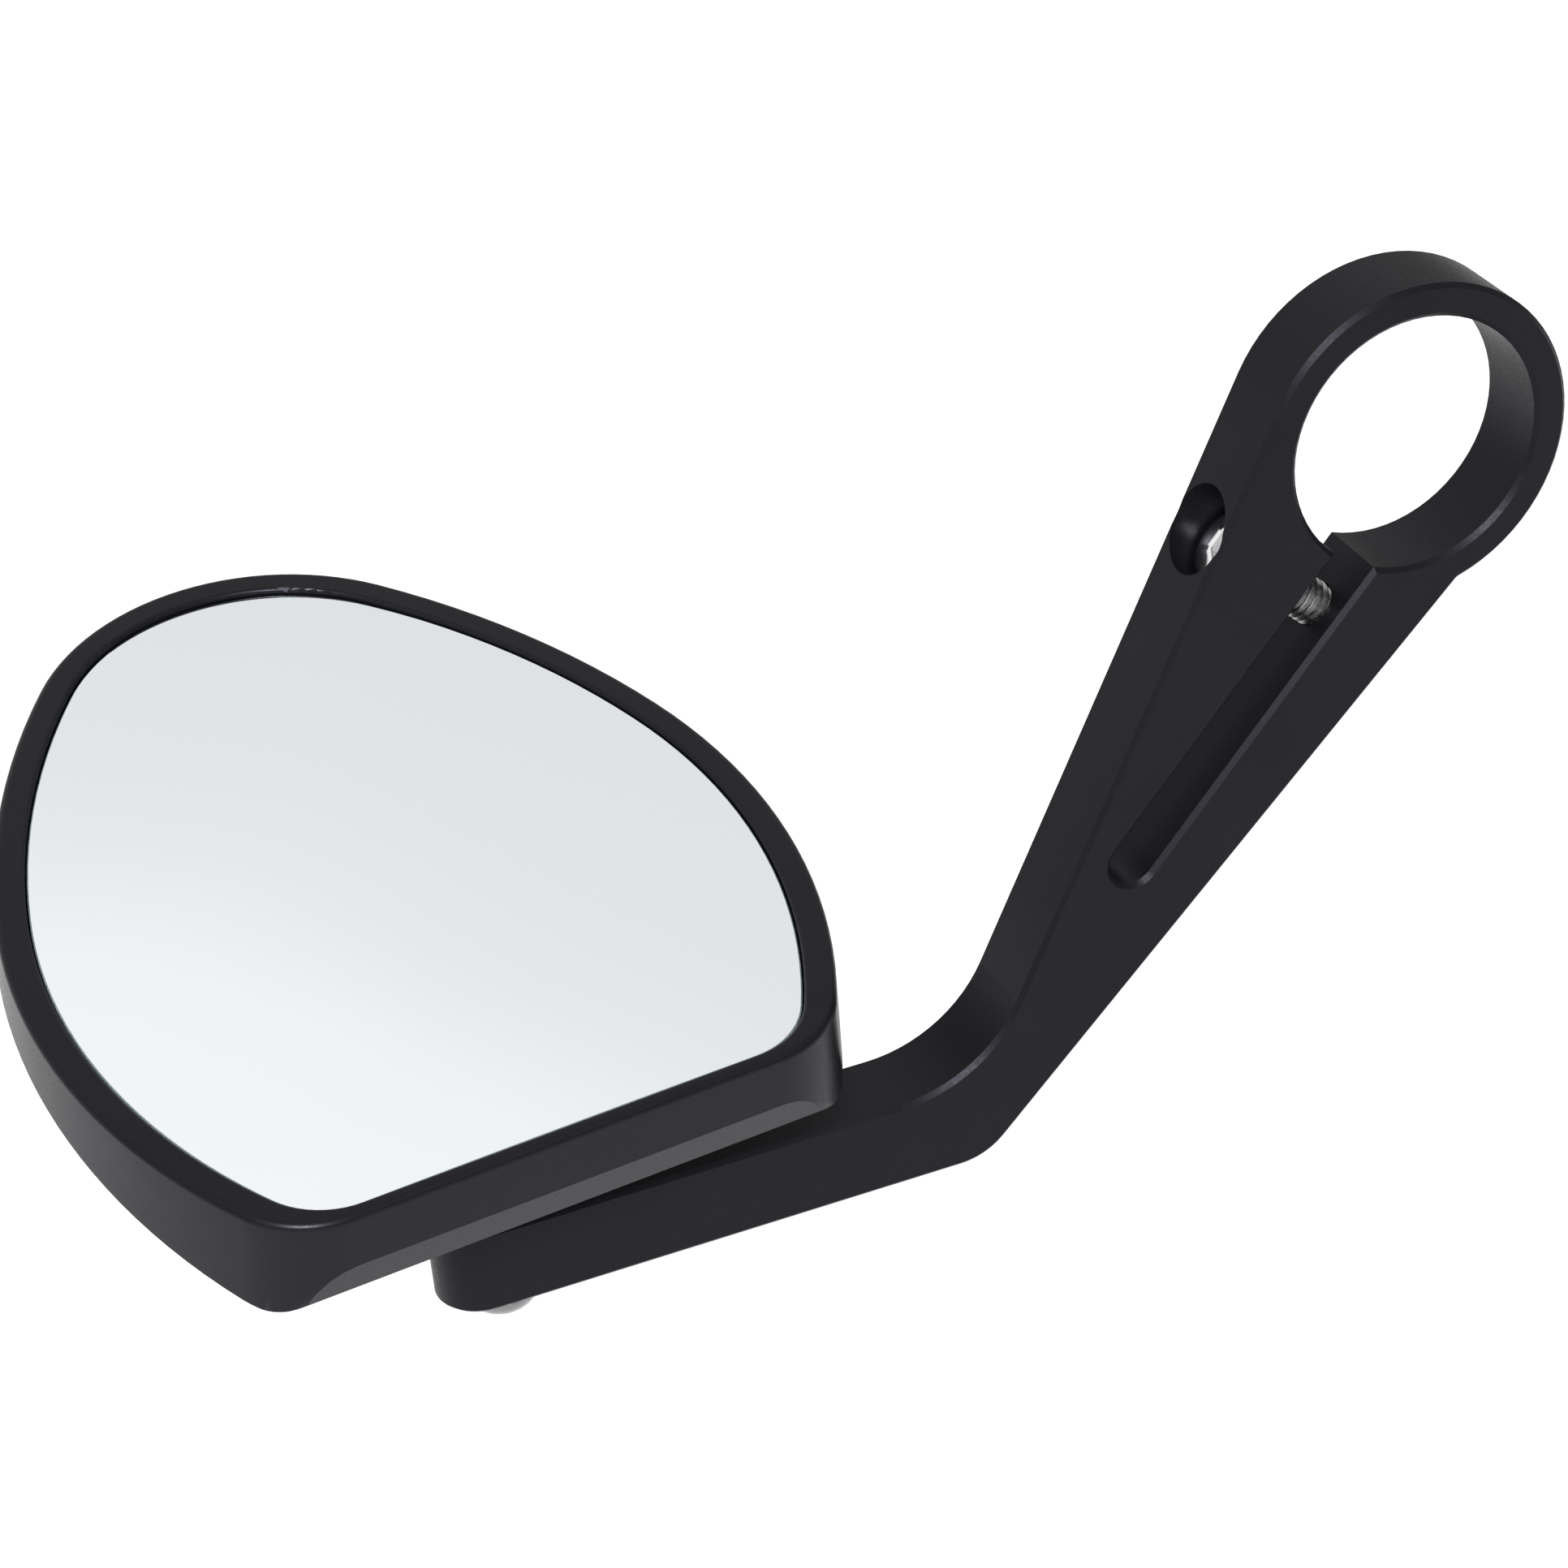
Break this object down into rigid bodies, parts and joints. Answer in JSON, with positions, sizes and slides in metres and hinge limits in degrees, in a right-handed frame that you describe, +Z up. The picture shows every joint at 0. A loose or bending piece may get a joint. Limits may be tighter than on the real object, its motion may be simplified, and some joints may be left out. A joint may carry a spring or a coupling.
{
  "type": "motorcycle bar end mirror",
  "caption": "Bar end mirror: a split ring clamps on the handlebar, an angled plate arm ends in a ball joint, and a shield-shaped dish holds the mirror.",
  "frame": {"origin": "centre of the bar clamp's bore, half way through the plate", "axes": "+Y along the handlebar, away from the flat end of the mirror; +Z up, square to the arm's short leg; -X along that leg towards its end"},
  "size_m": [0.1327, 0.081, 0.0739],
  "materials": {
    "arm_black": "satin black anodised",
    "housing_black": "satin black",
    "steel": "bright",
    "black_steel": "blackened",
    "nylon": "matt",
    "foam": "matt",
    "mirror": "polished"
  },
  "bodies": {
    "arm": {"clamp_arm": "arm_black", "clamp_screw": "steel", "pivot_screw": "steel", "ball_stud": "black_steel"},
    "seat": {"seat_ring": "nylon"},
    "cup": {"pressure_cup": "nylon"},
    "head": {"disc_spring": "steel", "retaining_plate": "steel", "plate_screws": "steel", "mirror_housing": "housing_black", "glass_pad": "foam", "mirror_glass": "mirror"}
  },
  "joints": [
    {"name": "mirror_tilt", "type": "hinge", "parent": "arm", "child": "seat", "pos_m": [-0.0854, 0, -0.0415], "axis": [0.9938, 0.1112, -0.005], "range_deg": [-28, 8]},
    {"name": "mirror_roll", "type": "hinge", "parent": "seat", "child": "cup", "pos_m": [-0.0854, 0, -0.0415], "axis": [-0.1083, 0.9763, 0.1874], "range_deg": [-12, 10]},
    {"name": "mirror_spin", "type": "hinge", "parent": "cup", "child": "head", "pos_m": [-0.0854, 0, -0.0415], "axis": [0.0257, -0.1857, 0.9823], "range_deg": [-20, 40]}
  ]
}
